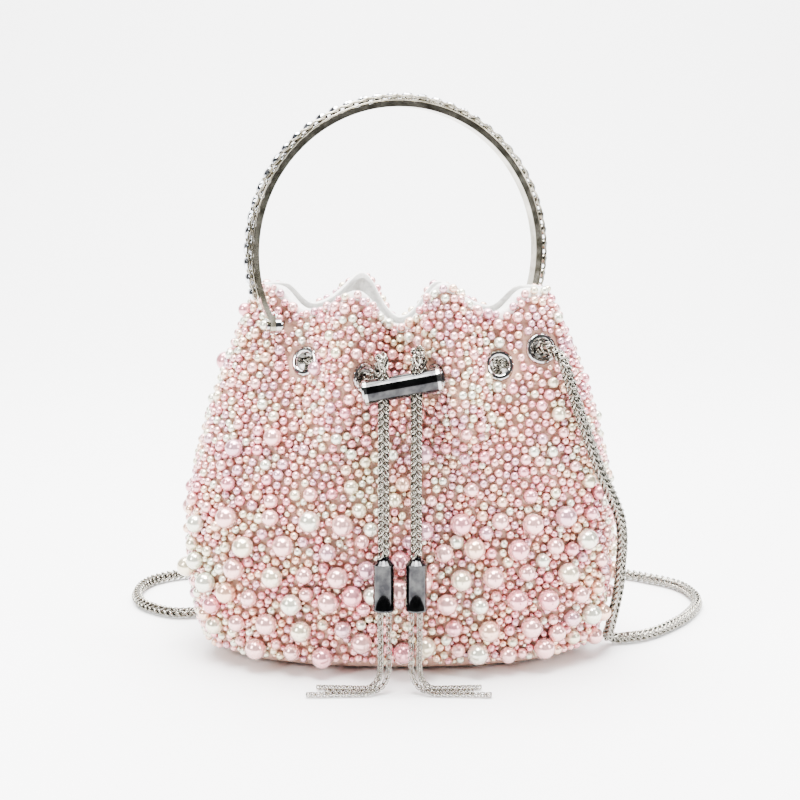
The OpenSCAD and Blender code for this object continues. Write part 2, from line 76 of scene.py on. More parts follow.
def paper_sweep():
    profile = [(PAPER_FRONT, 0.0), (PAPER_BACK, 0.0)]
    profile += [(PAPER_BACK + PAPER_BEND * math.sin(a), PAPER_BEND - PAPER_BEND * math.cos(a))
                for a in np.linspace(0.08, math.pi / 2, 14)]
    profile.append((PAPER_BACK + PAPER_BEND, PAPER_HIGH))
    verts = [(side * PAPER_HALF, y, z - PAPER_GAP) for y, z in profile for side in (-1, 1)]
    faces = [(2 * i, 2 * i + 1, 2 * i + 3, 2 * i + 2) for i in range(len(profile) - 1)]
    return mesh_object("paper_sweep", verts, faces, plain_material("white_paper", (0.93, 0.93, 0.93), 0.9))


paper_sweep()


def soft_lamp(name, place, target, size, power):
    lamp = bpy.data.lights.new(name, "AREA")
    lamp.shape = "RECTANGLE"
    lamp.size, lamp.size_y = size
    lamp.energy = power
    made = bpy.data.objects.new(name, lamp)
    made.location = place
    made.rotation_euler = (Vector(target) - Vector(place)).to_track_quat("-Z", "Y").to_euler()
    bpy.context.scene.collection.objects.link(made)


soft_lamp("top_lamp", (0.0, -0.35, 1.1), (0, 0, 0.1), (0.45, 0.35), 34)
soft_lamp("left_lamp", (-0.9, -0.8, 0.75), (0, 0, 0.1), (0.20, 0.5), 17)
soft_lamp("right_lamp", (1.0, -0.6, 0.6), (0, 0, 0.1), (0.16, 0.5), 12)
soft_lamp("paper_lamp", (0.0, 0.3, 2.0), (0, 0.9, 0.0), (2.6, 1.2), 300)
# The room is dim for the lamps' sake, and white where it shows past the edge of the paper
ROOM_DIM, ROOM_SEEN = 0.16, 0.90
world = bpy.data.worlds.new("studio")
bpy.context.scene.world = world
world.use_nodes = True
room_nodes, room_links = world.node_tree.nodes, world.node_tree.links
room = room_nodes["Background"]
room.inputs["Color"].default_value = (0.95, 0.97, 1.0, 1)
ray = room_nodes.new("ShaderNodeLightPath")
room_light = room_nodes.new("ShaderNodeMath")
room_light.operation = "MULTIPLY_ADD"
room_light.inputs[1].default_value = ROOM_SEEN - ROOM_DIM
room_light.inputs[2].default_value = ROOM_DIM
room_links.new(ray.outputs["Is Camera Ray"], room_light.inputs[0])
room_links.new(room_light.outputs["Value"], room.inputs["Strength"])

CAMERA_PLACE = (0.0, -0.600, 0.225)
CAMERA_DOWN = math.radians(9.6)
CAMERA_LENS = 57.0
camera = bpy.data.cameras.new("camera")
camera.lens = CAMERA_LENS
camera.sensor_width = 36.0
camera_object = bpy.data.objects.new("camera", camera)
camera_object.location = CAMERA_PLACE
camera_object.rotation_euler = (math.pi / 2 - CAMERA_DOWN, 0, 0)
bpy.context.scene.collection.objects.link(camera_object)
bpy.context.scene.camera = camera_object


# ---------------------------------------------------------------- Strap chain
# A nickel-plated wheat chain, 6.2 mm across. It leaves the front right eyelet, hangs down
# the side, lies round on the table behind the bag and comes up to the back left eyelet.

def unit(v):
    return v / np.linalg.norm(v, axis=-1, keepdims=True)


def smooth_route(points, step):
    """A smooth line through given points, as evenly spaced points in metres."""
    p = np.array(points, float) * MM
    p = np.vstack([2 * p[0] - p[1], p, 2 * p[-1] - p[-2]])
    fine = []
    for i in range(1, len(p) - 2):
        a, b, c, d = p[i - 1], p[i], p[i + 1], p[i + 2]
        for t in np.linspace(0, 1, 12, endpoint=False):
            fine.append(0.5 * (2 * b + (c - a) * t + (2 * a - 5 * b + 4 * c - d) * t ** 2
                               + (3 * b - a - 3 * c + d) * t ** 3))
    fine.append(p[-2])
    fine = np.array(fine)
    run = np.concatenate([[0], np.cumsum(np.linalg.norm(np.diff(fine, axis=0), axis=1))])
    count = max(2, int(round(run[-1] / step)))
    at = np.linspace(0, run[-1], count + 1)
    return np.stack([np.interp(at, run, fine[:, k]) for k in range(3)], axis=1)


def carried_frames(route):
    """Directions along, across and out of a line, carried along it without twist."""
    along = unit(np.gradient(route, axis=0))
    across = []
    now = np.array([0.0, 0.0, 1.0]) if abs(along[0][2]) < 0.8 else np.array([0.0, 1.0, 0.0])
    for t in along:
        now = now - t * np.dot(now, t)
        now = now / np.linalg.norm(now)
        across.append(now)
    across = np.array(across)
    return along, across, np.cross(along, across)


def ring_of_wire(centre, long_way, wide_way, long_r, wide_r, wire_r, around, sides, square=1.0):
    """One closed wire link, oval, or nearer to a rectangle where square is above 1."""
    normal = np.cross(long_way, wide_way)
    a = np.linspace(0, 2 * math.pi, around, endpoint=False)[:, None]
    b = np.linspace(0, 2 * math.pi, sides, endpoint=False)
    push = square / (np.abs(np.cos(a)) ** 8 + np.abs(np.sin(a)) ** 8) ** 0.125 if square > 1 else 1.0
    spine = centre + push * (long_r * np.cos(a) * long_way + wide_r * np.sin(a) * wide_way)
    out = unit(wide_r * np.cos(a) * long_way + long_r * np.sin(a) * wide_way)
    ring = np.cos(b)[None, :, None] * out[:, None] + np.sin(b)[None, :, None] * normal
    return (spine[:, None] + wire_r * ring).reshape(-1, 3)


def ring_faces(around, sides):
    i, j = np.meshgrid(np.arange(around), np.arange(sides), indexing="ij")
    n, m = (i + 1) % around, (j + 1) % sides
    return np.stack([i * sides + j, n * sides + j, n * sides + m, i * sides + m], axis=-1).reshape(-1, 4)


def quad_object(name, verts, faces, material):
    """A mesh from large arrays of vertices and quads."""
    mesh = bpy.data.meshes.new(name)
    mesh.vertices.add(len(verts))
    mesh.vertices.foreach_set("co", np.asarray(verts, np.float32).ravel())
    width = faces.shape[1]
    mesh.loops.add(faces.size)
    mesh.loops.foreach_set("vertex_index", faces.astype(np.int32).ravel())
    mesh.polygons.add(len(faces))
    mesh.polygons.foreach_set("loop_start", np.arange(0, faces.size, width, dtype=np.int32))
    mesh.update(calc_edges=True)
    mesh.materials.append(material)
    mesh.shade_smooth()
    made = bpy.data.objects.new(name, mesh)
    bpy.context.scene.collection.objects.link(made)
    return made


def smooth_line(route, step):
    run = np.concatenate([[0], np.cumsum(np.linalg.norm(np.diff(route, axis=0), axis=1))])
    at = np.linspace(0, run[-1], max(2, int(round(run[-1] / step))) + 1)
    return np.stack([np.interp(at, run, route[:, k]) for k in range(3)], axis=1)


# Wheat links, as shares of the chain's diameter
WHEAT_PITCH, WHEAT_OFFSET = 0.28, 0.18
WHEAT_LONG, WHEAT_WIDE, WHEAT_WIRE = 0.48, 0.20, 0.095
WHEAT_LEAN = math.radians(28)


def wheat_chain(name, route, diameter, material, around=12, sides=6):
    """Leaning oval links in pairs, each pair a quarter turn from the last, so that they
    show as a braid from every side."""
    stations = smooth_line(route, diameter * WHEAT_PITCH)
    along, across, out = carried_frames(stations)
    verts, faces = [], []
    one = ring_faces(around, sides)
    for k, p in enumerate(stations[1:-1], 1):
        for half in range(2):
            a = math.radians(45 + 90 * (k % 2) + 180 * half)
            radial = math.cos(a) * across[k] + math.sin(a) * out[k]
            round_way = -math.sin(a) * across[k] + math.cos(a) * out[k]
            long_way = math.cos(WHEAT_LEAN) * along[k] + math.sin(WHEAT_LEAN) * radial
            verts.append(ring_of_wire(p + WHEAT_OFFSET * diameter * radial, long_way, round_way,
                                      WHEAT_LONG * diameter, WHEAT_WIDE * diameter,
                                      WHEAT_WIRE * diameter, around, sides))
            faces.append(one + (len(verts) - 1) * around * sides)
    return quad_object(name, np.vstack(verts), np.vstack(faces), material)


def effect_group(name, inputs, outputs):
    """An empty shader node group with named sockets, given as {name: (type, value)}."""
    group = bpy.data.node_groups.new(name, "ShaderNodeTree")
    for word, (kind, value) in inputs.items():
        made = group.interface.new_socket(word, in_out="INPUT", socket_type=f"NodeSocket{kind}")
        made.default_value = value
    for word, kind in outputs.items():
        group.interface.new_socket(word, in_out="OUTPUT", socket_type=f"NodeSocket{kind}")
    return group, group.nodes.new("NodeGroupInput"), group.nodes.new("NodeGroupOutput")


def uneven_tone_group():
    """Two colours that drift into each other in soft patches, and the patches' own mask."""
    group, given, result = effect_group(
        "uneven_tone",
        {"Dark": ("Color", (0, 0, 0, 1)), "Light": ("Color", (1, 1, 1, 1)), "Scale": ("Float", 100.0),
         "Detail": ("Float", 4.0), "Patch Low": ("Float", 0.3), "Patch High": ("Float", 0.7)},
        {"Colour": "Color", "Mask": "Float"})
    where = group.nodes.new("ShaderNodeTexCoord")
    noise = group.nodes.new("ShaderNodeTexNoise")
    group.links.new(where.outputs["Object"], noise.inputs["Vector"])
    group.links.new(given.outputs["Scale"], noise.inputs["Scale"])
    group.links.new(given.outputs["Detail"], noise.inputs["Detail"])
    share = group.nodes.new("ShaderNodeMapRange")
    group.links.new(noise.outputs["Fac"], share.inputs["Value"])
    group.links.new(given.outputs["Patch Low"], share.inputs["From Min"])
    group.links.new(given.outputs["Patch High"], share.inputs["From Max"])
    tone = group.nodes.new("ShaderNodeMix")
    tone.data_type = "RGBA"
    group.links.new(share.outputs["Result"], tone.inputs["Factor"])
    group.links.new(given.outputs["Dark"], tone.inputs["A"])
    group.links.new(given.outputs["Light"], tone.inputs["B"])
    group.links.new(tone.outputs["Result"], result.inputs["Colour"])
    group.links.new(noise.outputs["Fac"], result.inputs["Mask"])
    return group


uneven_tone = uneven_tone_group()


def place_group(material, group, **values):
    """Places a node group in a material and sets its inputs by name."""
    node = material.node_tree.nodes.new("ShaderNodeGroup")
    node.node_tree = group
    for word, value in values.items():
        node.inputs[word.replace("_", " ")].default_value = value
    return node


def toned_material(name, dark, light, scale, detail, low, high):
    """A material whose base colour is the uneven tone between two colours."""
    made = bpy.data.materials.new(name)
    made.use_nodes = True
    shader = made.node_tree.nodes["Principled BSDF"]
    tone = place_group(made, uneven_tone, Dark=(*dark, 1), Light=(*light, 1), Scale=scale, Detail=detail,
                       Patch_Low=low, Patch_High=high)
    made.node_tree.links.new(tone.outputs["Colour"], shader.inputs["Base Color"])
    return made, shader, tone


def plated_metal(name, dark, light, rough_low, rough_high, scale=400, bump=0.05):
    """Bright plating: patchy tone, fine handling marks and a slight grain."""
    made, shader, tone = toned_material(name, dark, light, scale, 4, 0.35, 0.65)
    nodes, links = made.node_tree.nodes, made.node_tree.links
    shader.inputs["Metallic"].default_value = 1.0
    rough = nodes.new("ShaderNodeMapRange")
    rough.inputs["To Min"].default_value = rough_low
    rough.inputs["To Max"].default_value = rough_high
    links.new(tone.outputs["Mask"], rough.inputs["Value"])
    links.new(rough.outputs["Result"], shader.inputs["Roughness"])
    grain = nodes.new("ShaderNodeBump")
    grain.inputs["Strength"].default_value = bump
    grain.inputs["Distance"].default_value = 0.2 * MM
    links.new(tone.outputs["Mask"], grain.inputs["Height"])
    links.new(grain.outputs["Normal"], shader.inputs["Normal"])
    return made


CHAIN_D = 6.2
# Nickel grey, painted darker all over as the shade in the gaps between the links
shade_darkened_chain_metal = plated_metal("chain_nickel_painted_shade", (0.12, 0.11, 0.09), (0.42, 0.40, 0.35), 0.09, 0.18, 900)
strap_eye = np.array([64.0, -29.29, 152.0])
strap_out = np.array([0.245, -0.933, 0.263])
turned = np.array([-1.0, -1.0, 1.0])
strap_points = [strap_eye - 8 * strap_out, strap_eye, strap_eye + 5 * strap_out,
    (72, -38, 149), (76, -38, 139), (80, -37, 127), (86, -35, 111), (92, -32, 96), (98, -28, 84),
    (103, -24, 72), (105, -21, 60), (105, -19, 48), (105, -16, 36), (104, -12, 24), (103, -7, 13),
    (103, -1, 6), (107, 2, 3.2), (113, 3, 3.2), (123, 7, 3.2), (136, 18, 3.2), (150, 35, 3.2),
    (160, 55, 3.2), (161, 71, 3.2), (156, 87, 3.2), (143, 99, 3.2), (128, 108, 3.2), (105, 116, 3.2),
    (80, 118, 3.2), (57, 106, 3.2), (38, 88, 3.2), (17, 80, 3.2), (-2, 90, 3.2), (-15, 110, 3.2),
    (-32, 126, 3.2), (-54, 128, 3.2), (-74, 118, 3.2), (-98, 109, 3.2), (-122, 108, 3.2),
    (-137, 100, 3.2), (-144, 88, 3.2), (-145, 72, 3.2), (-140, 57, 3.2), (-131, 47, 3.2),
    (-118, 40, 3.2), (-106, 42, 3.2), (-96, 48, 4.5), (-90, 48, 11), (-86, 45, 24), (-84, 43, 40),
    (-83, 43, 60), (-82, 43, 80), (-80, 43, 100), (-78, 43, 120), (-75, 42, 136), (-72, 40, 147),
    (strap_eye + 5 * strap_out) * turned, strap_eye * turned, (strap_eye - 8 * strap_out) * turned]
strap_route = smooth_route(strap_points, 2 * MM)
strap = wheat_chain("strap_chain_links", strap_route, CHAIN_D * MM, shade_darkened_chain_metal)
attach(strap, "bag")
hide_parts("strap_chain")


# ---------------------------------------------------------------- Drawstring tails
# The two ends of the drawstring, the same wheat chain. They hang straight from the
# slider down to their end caps.

SLIDER_AT = np.array([0.0, -52.69, 138.5])
TAIL_WAY = np.array([0.0, -0.08757891, -0.99615759])
TAIL_GAP = 14.4
NECK_Z = 63.5
NECK_TOP = (SLIDER_AT[2] - NECK_Z) / -TAIL_WAY[2]
TAIL_STARTS = {-1: -6.5, 1: -9.5}
SIDES = {-1: "left", 1: "right"}


def tail_point(x, along):
    return SLIDER_AT + (x, 0, 0) + along * TAIL_WAY


tail_routes = {}
tails = {}
for side, word in SIDES.items():
    x = side * TAIL_GAP / 2
    places = [tail_point(x, a) for a in (TAIL_STARTS[side], 12, 34, 56, NECK_TOP)]
    tail_routes[side] = smooth_route(places, 2 * MM)
    tails[side] = wheat_chain(f"tail_links_{word}", tail_routes[side], CHAIN_D * MM, shade_darkened_chain_metal)
    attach(tails[side], "bag")
    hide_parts(f"drawstring_tail_{word}")


# ---------------------------------------------------------------- Tail end caps
# A turned nickel barrel closes each tail, its colour painted nearly black as the dark room it reflects: a
# ring and a cone on top, a rolled lip at the foot, and the tassel strands crimped inside.

def lathe(name, profile, material, place, way, turns=48):
    """A closed turned piece. The profile is (radius, height) in mm from axis to axis."""
    up = unit(np.array(way, float))
    side = unit(np.cross(up, (0.3, 1, 0.1)))
    out = np.cross(up, side)
    inner = profile[1:-1]
    a = np.linspace(0, 2 * math.pi, turns, endpoint=False)
    verts = [np.array(place) + profile[0][1] * up]
    for r, h in inner:
        verts += [np.array(place) + h * up + r * (math.cos(t) * side + math.sin(t) * out) for t in a]
    verts.append(np.array(place) + profile[-1][1] * up)
    faces = [(0, 1 + (k + 1) % turns, 1 + k) for k in range(turns)]
    for i in range(len(inner) - 1):
        low, high = 1 + i * turns, 1 + (i + 1) * turns
        faces += [(low + k, low + (k + 1) % turns, high + (k + 1) % turns, high + k) for k in range(turns)]
    last = 1 + (len(inner) - 1) * turns
    faces += [(last + k, last + (k + 1) % turns, len(verts) - 1) for k in range(turns)]
    made = mesh_object(name, np.array(verts) * MM, faces, material)
    turned_mesh = bmesh.new()
    turned_mesh.from_mesh(made.data)
    bmesh.ops.recalc_face_normals(turned_mesh, faces=turned_mesh.faces)
    turned_mesh.to_mesh(made.data)
    turned_mesh.free()
    return made


def crease(obj, angle=35):
    """Keeps turned edges crisp and rounds them a little."""
    soften = obj.modifiers.new("soften", "BEVEL")
    soften.width = 0.00012
    soften.segments = 2
    soften.limit_method = "ANGLE"
    soften.angle_limit = math.radians(angle)
    soften.harden_normals = True


# Nickel with its colour painted nearly black: a painted dark reflection of the room, used on the end caps
# and the slider tube
painted_dark_reflection_metal = plated_metal("nickel_painted_dark_reflection", (0.022, 0.022, 0.024), (0.060, 0.060, 0.060), 0.05, 0.12, 250, 0.02)
CAP_NECK, CAP_BARREL = 3.5, 21.0
CAP_FOOT = -(CAP_NECK + CAP_BARREL)
CAP_R, CAP_LIP_R = 4.75, 4.9
cap_profile = [(0, CAP_FOOT + 0.8), (4.1, CAP_FOOT + 0.8), (4.3, CAP_FOOT), (CAP_R, CAP_FOOT),
               (CAP_LIP_R, CAP_FOOT + 0.3), (CAP_LIP_R, CAP_FOOT + 0.9), (CAP_R, CAP_FOOT + 1.3),
               (CAP_R, -4.6), (CAP_LIP_R, -4.2), (CAP_LIP_R, -3.6), (4.3, -3.0), (3.4, -2.0),
               (2.6, -1.2), (2.4, -0.4), (2.1, 0.0), (0, 0.0)]
end_caps = {}
for side, word in SIDES.items():
    top = tail_point(side * TAIL_GAP / 2, NECK_TOP)
    end_caps[side] = lathe(f"end_cap_barrel_{word}", cap_profile, painted_dark_reflection_metal, top, -TAIL_WAY)
    crease(end_caps[side])
    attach(end_caps[side], "bag")
    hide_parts(f"end_cap_{word}")


# ---------------------------------------------------------------- Tassel strands
# Three fine box-chain strands hang from each end cap, touch the table and lie outwards.

STRAND_D = 2.8
TAIL_LEAN = math.asin(-TAIL_WAY[1])
CAP_END = NECK_TOP + CAP_NECK + CAP_BARREL
# How far each strand spreads back, stands off the cap's middle, and reaches on the table
STRANDS = [(-1.6, 1.6, 42), (1.8, 1.4, 38), (0.0, -2.2, 34)]
BOX_PITCH, BOX_LONG, BOX_WIDE, BOX_WIRE = 0.5, 0.40, 0.36, 0.10
BOX_AROUND, BOX_SIDES, BOX_SQUARE = 8, 5, 1.02


def box_chain(name, route, diameter, material):
    """Square-set links, turned a quarter turn each, as a box chain has."""
    stations = smooth_line(route, diameter * BOX_PITCH)
    along, across, out = carried_frames(stations)
    verts, faces = [], []
    one = ring_faces(BOX_AROUND, BOX_SIDES)
    for k in range(len(stations)):
        way = across[k] if k % 2 else out[k]
        centre = stations[min(max(k, 1), len(stations) - 2)]
        verts.append(ring_of_wire(centre, along[k], way, BOX_LONG * diameter, BOX_WIDE * diameter,
                                  BOX_WIRE * diameter, BOX_AROUND, BOX_SIDES, BOX_SQUARE))
        faces.append(one + k * BOX_AROUND * BOX_SIDES)
    return quad_object(name, np.vstack(verts), np.vstack(faces), material)


def strand_points(side, spread, out, reach):
    foot = tail_point(side * (TAIL_GAP / 2 + out), CAP_END) \
        + spread * np.array([0, math.cos(TAIL_LEAN), -math.sin(TAIL_LEAN)])
    x, y, lie = foot[0], foot[1] + 0.2 * spread, STRAND_D / 2 + 0.05
    return [foot, foot + 3 * TAIL_WAY, (x, y, 24), (x, y + 0.3 * spread, 12),
            (x + side * 2, y + 0.5 * spread, 5), (x + side * 6.5, y + 0.8 * spread, lie),
            (x + side * 15, y + spread, lie), (side * reach, y + 1.4 * spread, lie)]


for side, word in SIDES.items():
    for number, (spread, out, reach) in enumerate(STRANDS, 1):
        route = smooth_route(strand_points(side, spread, out, reach - (side > 0)), 1 * MM)
        route[:, 2] = np.maximum(route[:, 2], (STRAND_D / 2 + 0.02) * MM)
        strand = box_chain(f"tassel_strand_{word}_{number}", route, STRAND_D * MM, shade_darkened_chain_metal)
        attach(strand, "bag")
        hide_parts(f"tassel_{word}_{number}")


# ---------------------------------------------------------------- Front and back panels
# Satin-faced cloth that the beads are sewn on, a pale skin tone painted darker as the shade between the
# beads.
# A front and a back panel meet in two side seams: a rounded belly, and a narrow mouth that the
# drawstring has gathered into two pleats a side.

def ease(u):
    c = np.clip(u, 0, 1)
    return c * c * (3 - 2 * c)


def bump(d, w):
    return np.exp(-d * d / (2 * w * w))


BELLY_Z, RIM_Z = 55, 178
MOUTH_HALF = 67


def swell(z, base, belly, mouth, power):
    """A half size of the bag at a height: out from the base to the belly, in to the mouth."""
    rise = np.cos(np.pi / 2 * np.clip((z - BELLY_Z) / (RIM_Z - BELLY_Z), 0, 1))
    low = np.sin(np.pi / 2 * (np.clip(z, 0, BELLY_Z) / BELLY_Z) ** power)
    return np.where(z > BELLY_Z, mouth + (belly - mouth) * rise, base + (belly - base) * low)


def half_width(z):
    return swell(z, 86, 101, MOUTH_HALF, 0.6)


def half_depth(z):
    return swell(z, 36, 44, 24, 0.7)


FOOT_ROUND = 10.0
OVAL = 2.2
PLEAT_X, PLEAT_FAN = 19.5, 0.16
LOW_RIM_Z = 167


def tuck(z):
    """How far the cloth has turned in under the bag, near the table."""
    return FOOT_ROUND * (1 - np.sqrt(1 - np.clip(1 - z / FOOT_ROUND, 0, 1) ** 2))


def skew(z):
    """The mouth is turned a little against the foot."""
    return 0.17 * ease((z - 60) / 100)


def fold(x, z):
    """How far the gathered cloth stands out, in pleats that fan out downwards."""
    crest = PLEAT_X + PLEAT_FAN * (RIM_Z - z)
    pleats = 13 * (bump(x + crest, 7) + bump(x - crest, 7))
    hollows = 8 * bump(x, 7.5) + 5 * (bump(x + 44.5, 9) + bump(x - 44.5, 9))
    return ease((z - 85) / 50) * (pleats - hollows)


def rim_height(x):
    """The rim rises to both sides and over each pleat, and dips between the pleats."""
    sides = 11 * ease((np.abs(x) - 40) / 20)
    return LOW_RIM_Z + sides + 11 * bump(x + PLEAT_X, 8) + 15 * bump(x - PLEAT_X, 8) - 7 * bump(x, 8)


def front_y(x, z, inset=0.0):
    share = np.clip(np.abs(x) / (half_width(z) - inset), 0, 1)
    return (-(half_depth(z) - inset) * (1 - share ** OVAL) ** (1 / OVAL)
            - (1 - share ** 12) * fold(x, z) - x * skew(z))


def front_normal(x, z):
    dx = front_y(x + 0.5, z) - front_y(x - 0.5, z)
    dz = front_y(x, z + 0.5) - front_y(x, z - 0.5)
    return unit(np.stack([dx, -np.ones_like(dx), dz], axis=-1))


def cloth_point(x, z, inset=0.0):
    x, z = np.asarray(x, float), np.asarray(z, float)
    return np.stack([x, front_y(x, z, inset), z], axis=-1)


def grid_faces(columns, rows):
    k, j = np.meshgrid(np.arange(rows), np.arange(columns), indexing="ij")
    a = k * (columns + 1) + j
    return np.stack([a, a + 1, a + columns + 2, a + columns + 1], axis=-1).reshape(-1, 4)


def cloth_grid(columns, rows, inset, low=0.0):
    """Points across the front and up it, from the height low to the rim."""
    t = np.linspace(-np.pi / 2, np.pi / 2, columns + 1)
    top = rim_height(MOUTH_HALF * np.sin(t))
    levels = np.concatenate([[0, 0.6, 1.6, 3, 5], np.linspace(8, LOW_RIM_Z, rows - 4)])
    share = np.clip((levels - 8) / (LOW_RIM_Z - 8), 0, 1)
    z = np.maximum(levels[:, None], low) + share[:, None] * (top[None, :] - LOW_RIM_Z)
    turned_in = inset + tuck(z)
    x = (half_width(z) - turned_in) * np.sin(t)[None, :]
    return cloth_point(x, z, turned_in)


def closed_sheet(name, outer, inner, material, holes=()):
    """Joins an outer and an inner grid of points into one closed thin piece, with round holes."""
    rows, columns = outer.shape[0] - 1, outer.shape[1] - 1
    verts = np.vstack([outer.reshape(-1, 3), inner.reshape(-1, 3)])
    off = outer.shape[0] * outer.shape[1]
    wall = grid_faces(columns, rows)
    for centre, radius in holes:
        reach = np.linalg.norm(verts[wall] - centre, axis=2).max(axis=1)
        wall = wall[reach > radius]
    edges = np.stack([wall, np.roll(wall, -1, axis=1)], axis=-1).reshape(-1, 2)
    known = {tuple(e) for e in edges.tolist()}
    free = np.array([e for e in edges.tolist() if (e[1], e[0]) not in known])
    rim = np.stack([free[:, 1], free[:, 0], free[:, 0] + off, free[:, 1] + off], axis=1)
    faces = np.vstack([wall, wall[:, ::-1] + off, rim])
    used = np.unique(faces)
    again = np.zeros(len(verts), int)
    again[used] = np.arange(len(used))
    return quad_object(name, verts[used] * MM, again[faces], material)


def woven_cloth_group():
    """The normal of crossing threads under slow wrinkles."""
    group, given, result = effect_group("woven_cloth", {"Threads": ("Float", 400.0)}, {"Normal": "Vector"})
    where = group.nodes.new("ShaderNodeTexCoord")
    both = group.nodes.new("ShaderNodeMath")
    both.operation = "ADD"
    for k, direction in enumerate(("X", "Z")):
        threads = group.nodes.new("ShaderNodeTexWave")
        threads.bands_direction = direction
        threads.inputs["Distortion"].default_value = 0.6
        group.links.new(given.outputs["Threads"], threads.inputs["Scale"])
        group.links.new(where.outputs["Object"], threads.inputs["Vector"])
        group.links.new(threads.outputs["Fac"], both.inputs[k])
    grain = group.nodes.new("ShaderNodeBump")
    grain.inputs["Strength"].default_value = 0.25
    grain.inputs["Distance"].default_value = 0.2 * MM
    group.links.new(both.outputs["Value"], grain.inputs["Height"])
    creases = group.nodes.new("ShaderNodeTexNoise")
    creases.inputs["Scale"].default_value = 170
    creases.inputs["Detail"].default_value = 2
    group.links.new(where.outputs["Object"], creases.inputs["Vector"])
    wrinkles = group.nodes.new("ShaderNodeBump")
    wrinkles.inputs["Strength"].default_value = 0.6
    wrinkles.inputs["Distance"].default_value = 2 * MM
    group.links.new(creases.outputs["Fac"], wrinkles.inputs["Height"])
    group.links.new(grain.outputs["Normal"], wrinkles.inputs["Normal"])
    group.links.new(wrinkles.outputs["Normal"], result.inputs["Normal"])
    return group


woven_cloth = woven_cloth_group()


def satin(name, low, high, sheen, rough, weave=2600):
    """Satin cloth: fine crossing threads, soft sheen and an uneven tone."""
    made, shader, tone = toned_material(name, low, high, 60, 5, 0.3, 0.7)
    shader.inputs["Roughness"].default_value = rough
    shader.inputs["Sheen Weight"].default_value = sheen
    threads = place_group(made, woven_cloth, Threads=weave / 6.28)
    made.node_tree.links.new(threads.outputs["Normal"], shader.inputs["Normal"])
    return made


EYELET_SEATS = [(-44, 144.5), (45, 144.5), (-16, 139.5), (16, 139.5), (64, 152)]
CLOTH_HOLE_R = 6.3
CLOTH_T = 2.0
# The cloth's own tan-pink, painted darker as the shade that falls between the beads
panel_satin_painted_shade = satin("panel_satin_painted_shade", (0.34, 0.17, 0.12), (0.54, 0.32, 0.23), 0.20, 0.45)
COLUMNS, ROWS = 200, 100
half_turn = np.array([-1.0, -1.0, 1.0])
panels = {}
for word, way in (("front", np.ones(3)), ("back", half_turn)):
    holes = [(cloth_point(x, z) * way, CLOTH_HOLE_R) for x, z in EYELET_SEATS]
    panels[word] = closed_sheet(f"{word}_cloth", cloth_grid(COLUMNS, ROWS, 0.0) * way,
                                cloth_grid(COLUMNS, ROWS, CLOTH_T) * way, panel_satin_painted_shade, holes)
    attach(panels[word], "bag")
    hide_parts(f"{word}_panel")


# ---------------------------------------------------------------- Lining
# White satin, sewn in at the rim and along the floor. It shows at the open mouth.

lining_satin = satin("lining_satin", (0.84, 0.82, 0.78), (0.96, 0.95, 0.92), 0.5, 0.35)
LINING_OUT, LINING_IN = 2.3, 3.1
LINING_FOOT = 5.6


def oval_slab(name, inset, low, high, material, columns=128):
    """A flat piece with the outline of the bag's foot."""
    a = np.linspace(0, 2 * math.pi, columns, endpoint=False)
    long_r = float(half_width(np.asarray(0.0))) - inset
    wide_r = float(half_depth(np.asarray(0.0))) - inset
    power = 2 / OVAL
    x = long_r * np.sign(np.cos(a)) * np.abs(np.cos(a)) ** power
    y = wide_r * np.sign(np.sin(a)) * np.abs(np.sin(a)) ** power
    rings = [(0.0, low), (0.5, low), (1.0, low), (1.0, high), (0.5, high), (0.0, high)]
    verts = np.vstack([np.stack([x * k, y * k, 0 * x + z], axis=-1) if k else [[0, 0, z]] for k, z in rings])
    faces, start = [], 1
    turn = [(k, (k + 1) % columns) for k in range(columns)]
    faces += [(0, start + n, start + k) for k, n in turn]
    for ring in range(3):
        low_ring, high_ring = start + ring * columns, start + (ring + 1) * columns
        faces += [(low_ring + k, low_ring + n, high_ring + n, high_ring + k) for k, n in turn]
    faces += [(start + 3 * columns + k, start + 3 * columns + n, start + 4 * columns) for k, n in turn]
    return mesh_object(name, verts * MM, faces, material, smooth=False)


for word, way in (("front", np.ones(3)), ("back", half_turn)):
    holes = [(cloth_point(x, z, LINING_OUT) * way, CLOTH_HOLE_R) for x, z in EYELET_SEATS]
    outer, inner = (cloth_grid(COLUMNS // 2, ROWS // 2, inset, low=LINING_FOOT) * way
                    for inset in (LINING_OUT, LINING_IN))
    side_lining = closed_sheet(f"{word}_lining", outer, inner, lining_satin, holes)
    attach(side_lining, "bag")
    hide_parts("lining")
floor_lining = oval_slab("floor_lining", 3.6, 5.3, 6.1, lining_satin)
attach(floor_lining, "bag")
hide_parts("lining")


# ---------------------------------------------------------------- Base panel and base board
# A flat cloth panel closes the foot, and a stiff board lies on it under the lining.

# The base is made of the same satin, painted darker as shade under the bag's foot
base_cloth = oval_slab("base_cloth", FOOT_ROUND + 2.1, 0.0, 2.0, panel_satin_painted_shade)
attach(base_cloth, "bag")
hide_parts("base_panel")
board_stock = satin("board_stock", (0.30, 0.20, 0.12), (0.46, 0.33, 0.21), 0.0, 0.8, 900)
base_stiffener = oval_slab("base_stiffener", 6.4, 2.1, 5.2, board_stock)
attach(base_stiffener, "bag")
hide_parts("base_board")


# ---------------------------------------------------------------- Rim hem
# White satin turned over the rim and stitched through, 3 mm deep. It shows inside the
# pleats and along both sides.

HEM_DEPTH = 3.0


def along_rim(profile, way, columns=COLUMNS):
    """Sweeps a profile of (inset, height over the rim) along one side's rim."""
    t = np.linspace(-np.pi / 2, np.pi / 2, columns + 1)
    top = rim_height(MOUTH_HALF * np.sin(t))
    lines = []
    for inset, lift in profile:
        z = top + lift
        lines.append(cloth_point((half_width(z) - inset) * np.sin(t), z, inset) * way)
    return np.array(lines)


